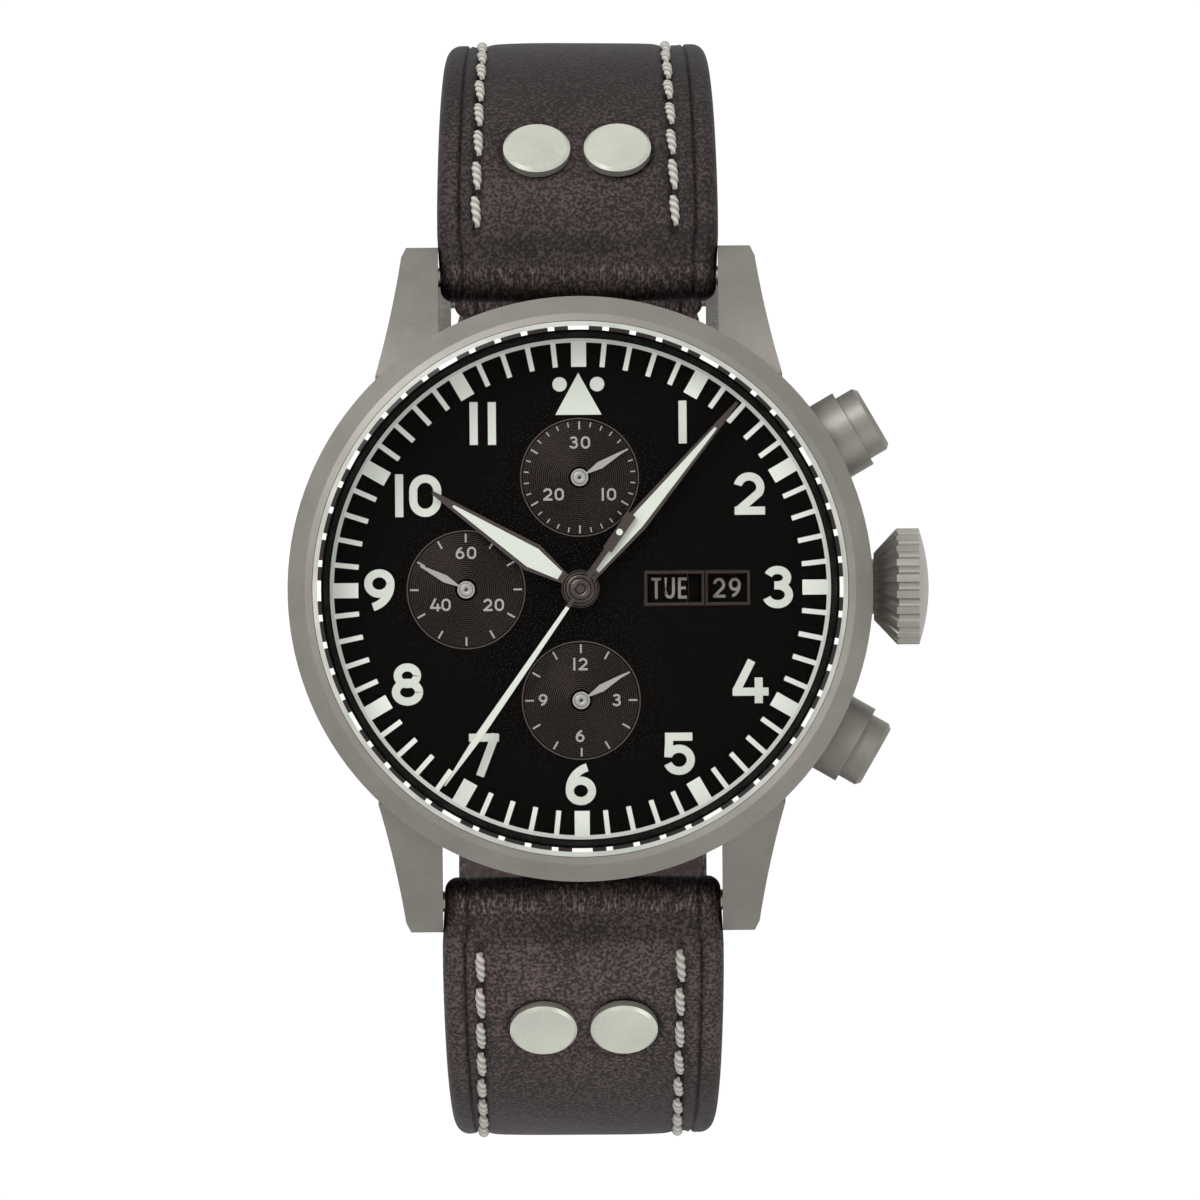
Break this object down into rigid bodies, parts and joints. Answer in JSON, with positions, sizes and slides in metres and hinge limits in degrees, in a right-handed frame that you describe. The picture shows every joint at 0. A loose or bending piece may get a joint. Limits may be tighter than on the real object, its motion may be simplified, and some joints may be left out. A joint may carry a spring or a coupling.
{
  "type": "pilot watch",
  "caption": "Round steel chronograph wristwatch with black dial, crown, pushers and a riveted leather strap, built from its separate moving pieces.",
  "frame": {"origin": "on the hands' axis at the outer face of the case back", "axes": "+Z out of the dial, +Y to twelve o'clock, +X to the crown at three o'clock"},
  "size_m": [0.046, 0.0786, 0.0613],
  "materials": {
    "case_steel": "bead-blasted matte",
    "satin_steel": "satin brushed",
    "screw_steel": "polished edges",
    "sapphire": "clear, domed",
    "black_seal": "matt",
    "flange_black": "polished black",
    "dial_black": "matt black",
    "hand_metal": "dark brushed",
    "hand_white": "matt",
    "nickel_plate": "striped and grained",
    "rotor_metal": "striped",
    "wheel_brass": "grained",
    "wheel_steel": "polished",
    "strap_leather": "padded calf, stitched"
  },
  "bodies": {
    "case": {"mid_case": "case_steel", "bezel": "case_steel", "crystal": "sapphire", "crystal_gasket": "black_seal", "flange_ring": "flange_black", "movement_ring": "nickel_plate", "case_back": "satin_steel", "back_crystal": "sapphire", "back_gasket": "black_seal", "case_back_screws": "screw_steel", "spring_bars": "satin_steel", "crown_tube": "satin_steel", "pusher_tubes": "satin_steel", "dial": "dial_black", "main_plate": "nickel_plate", "train_bridge": "nickel_plate", "balance_cock": "nickel_plate", "rotor_bridge": "nickel_plate", "movement_screws": "screw_steel"},
    "crown_slider": {"crown_gasket": "black_seal"},
    "crown": {"crown": "satin_steel", "winding_stem": "screw_steel", "sliding_pinion": "screw_steel"},
    "upper_pusher": {"pusher_top": "satin_steel"},
    "lower_pusher": {"pusher_bottom": "satin_steel"},
    "seconds": {"fourth_wheel": "wheel_brass", "small_seconds_hand": "hand_white"},
    "third": {"third_wheel": "wheel_brass"},
    "minutes": {"centre_wheel": "wheel_brass", "cannon_pinion": "wheel_steel", "minute_hand": "hand_metal"},
    "motion": {"minute_wheel": "wheel_brass"},
    "hours": {"hour_wheel": "wheel_brass", "hour_hand": "hand_metal"},
    "escape": {"escape_wheel": "wheel_steel"},
    "barrel": {"barrel": "wheel_brass"},
    "pallets": {"pallet_fork": "wheel_steel"},
    "balance": {"balance_wheel": "wheel_brass", "hairspring": "wheel_steel"},
    "chronograph": {"chrono_wheel": "wheel_brass", "chrono_seconds_hand": "hand_white"},
    "minute_counter": {"minute_counter_wheel": "wheel_brass", "minute_counter_hand": "hand_white"},
    "hour_counter": {"hour_counter_wheel": "wheel_brass", "hour_counter_hand": "hand_white"},
    "day": {"day_disc": "dial_black"},
    "date": {"date_ring": "dial_black"},
    "rotor": {"rotor": "rotor_metal", "rotor_bearing": "rotor_metal"},
    "crown_gear": {"crown_wheel": "wheel_steel"},
    "ratchet": {"ratchet_wheel": "wheel_steel"},
    "buckle_half": {"strap_buckle_half": "strap_leather", "rivets_buckle_half": "screw_steel", "fixed_keeper": "strap_leather"},
    "tail_half": {"strap_tail_half": "strap_leather", "rivets_tail_half": "screw_steel"},
    "sliding_keeper": {"free_keeper": "strap_leather"},
    "frame": {"buckle_frame": "satin_steel", "buckle_bar": "satin_steel"},
    "tongue": {"buckle_tongue": "satin_steel"}
  },
  "joints": [
    {"name": "crown_pull", "type": "slide", "parent": "case", "child": "crown_slider", "axis": [1, 0, 0], "range_m": [0, 0.0012]},
    {"name": "crown_turn", "type": "hinge", "parent": "crown_slider", "child": "crown", "pos_m": [0.022, 0, 0.0073], "axis": [1, 0, 0], "continuous": true},
    {"name": "upper_pusher_press", "type": "slide", "parent": "case", "child": "upper_pusher", "axis": [-0.866, -0.5, 0], "range_m": [0, 0.00085], "stiffness_N_per_m": 600},
    {"name": "lower_pusher_press", "type": "slide", "parent": "case", "child": "lower_pusher", "axis": [-0.866, 0.5, 0], "range_m": [0, 0.00085], "stiffness_N_per_m": 600},
    {"name": "seconds_turn", "type": "hinge", "parent": "case", "child": "seconds", "pos_m": [-0.0082, 0, 0.006], "axis": [0, 0, -1], "continuous": true},
    {"name": "third_turn", "type": "hinge", "parent": "case", "child": "third", "pos_m": [-0.00452, 0.00229, 0.006], "axis": [0, 0, -1], "continuous": true},
    {"name": "minutes_turn", "type": "hinge", "parent": "case", "child": "minutes", "pos_m": [0, 0, 0.006], "axis": [0, 0, -1], "continuous": true},
    {"name": "motion_turn", "type": "hinge", "parent": "case", "child": "motion", "pos_m": [-0.00204, 0.00204, 0.006], "axis": [0, 0, -1], "continuous": true},
    {"name": "hours_turn", "type": "hinge", "parent": "case", "child": "hours", "pos_m": [0, 0, 0.006], "axis": [0, 0, -1], "continuous": true},
    {"name": "escape_turn", "type": "hinge", "parent": "case", "child": "escape", "pos_m": [-0.00752, -0.00384, 0.006], "axis": [0, 0, -1], "continuous": true},
    {"name": "barrel_turn", "type": "hinge", "parent": "case", "child": "barrel", "pos_m": [0.00592, -0.00215, 0.006], "axis": [0, 0, -1], "continuous": true},
    {"name": "pallets_rock", "type": "hinge", "parent": "case", "child": "pallets", "pos_m": [-0.00642, -0.00601, 0.0055], "axis": [0, 0, -1], "range_deg": [-5, 5]},
    {"name": "balance_swing", "type": "hinge", "parent": "case", "child": "balance", "pos_m": [-0.00548, -0.00785, 0.005], "axis": [0, 0, -1], "range_deg": [-270, 270], "stiffness_Nm_per_rad": 0.00000045},
    {"name": "chronograph_turn", "type": "hinge", "parent": "case", "child": "chronograph", "pos_m": [0, 0, 0.006], "axis": [0, 0, -1], "continuous": true},
    {"name": "minute_counter_turn", "type": "hinge", "parent": "case", "child": "minute_counter", "pos_m": [0, 0.008, 0.006], "axis": [0, 0, -1], "continuous": true},
    {"name": "hour_counter_turn", "type": "hinge", "parent": "case", "child": "hour_counter", "pos_m": [0, -0.008, 0.006], "axis": [0, 0, -1], "continuous": true},
    {"name": "day_turn", "type": "hinge", "parent": "case", "child": "day", "pos_m": [0, 0, 0.0084], "axis": [0, 0, -1], "continuous": true},
    {"name": "date_turn", "type": "hinge", "parent": "case", "child": "date", "pos_m": [0, 0, 0.0084], "axis": [0, 0, -1], "continuous": true},
    {"name": "rotor_turn", "type": "hinge", "parent": "case", "child": "rotor", "pos_m": [0, 0, 0.0022], "axis": [0, 0, -1], "continuous": true},
    {"name": "crown_gear_turn", "type": "hinge", "parent": "case", "child": "crown_gear", "pos_m": [0.00907, 0.00005, 0.0034], "axis": [0, 0, -1], "continuous": true},
    {"name": "ratchet_turn", "type": "hinge", "parent": "case", "child": "ratchet", "pos_m": [0.00592, -0.00215, 0.0034], "axis": [0, 0, -1], "continuous": true},
    {"name": "buckle_half_swing", "type": "hinge", "parent": "case", "child": "buckle_half", "pos_m": [0, 0.0224, 0.00235], "axis": [1, 0, 0], "range_deg": [0, 60]},
    {"name": "tail_half_swing", "type": "hinge", "parent": "case", "child": "tail_half", "pos_m": [0, -0.0224, 0.00235], "axis": [-1, 0, 0], "range_deg": [0, 60]},
    {"name": "keeper_slide", "type": "hinge", "parent": "buckle_half", "child": "sliding_keeper", "pos_m": [0, 0.0183, -0.0192], "axis": [1, 0, 0], "range_deg": [0, 40]},
    {"name": "frame_swing", "type": "hinge", "parent": "buckle_half", "child": "frame", "pos_m": [0, 0.02108, -0.03862], "axis": [-1, 0, 0], "range_deg": [0, 110]},
    {"name": "tongue_swing", "type": "hinge", "parent": "frame", "child": "tongue", "pos_m": [0, 0.02108, -0.03862], "axis": [1, 0, 0], "range_deg": [0, 12]}
  ],
  "couplings": [
    {"joint": "third_turn", "follows": "seconds_turn", "ratio": -0.13333},
    {"joint": "minutes_turn", "follows": "seconds_turn", "ratio": 0.016667},
    {"joint": "motion_turn", "follows": "seconds_turn", "ratio": -0.0055556},
    {"joint": "hours_turn", "follows": "seconds_turn", "ratio": 0.0013889},
    {"joint": "escape_turn", "follows": "seconds_turn", "ratio": -12},
    {"joint": "barrel_turn", "follows": "seconds_turn", "ratio": -0.0027778},
    {"joint": "minute_counter_turn", "follows": "chronograph_turn", "ratio": 0.033333},
    {"joint": "hour_counter_turn", "follows": "chronograph_turn", "ratio": 0.0013889},
    {"joint": "crown_gear_turn", "follows": "crown_turn", "ratio": -0.41667},
    {"joint": "ratchet_turn", "follows": "crown_turn", "ratio": 0.25}
  ]
}
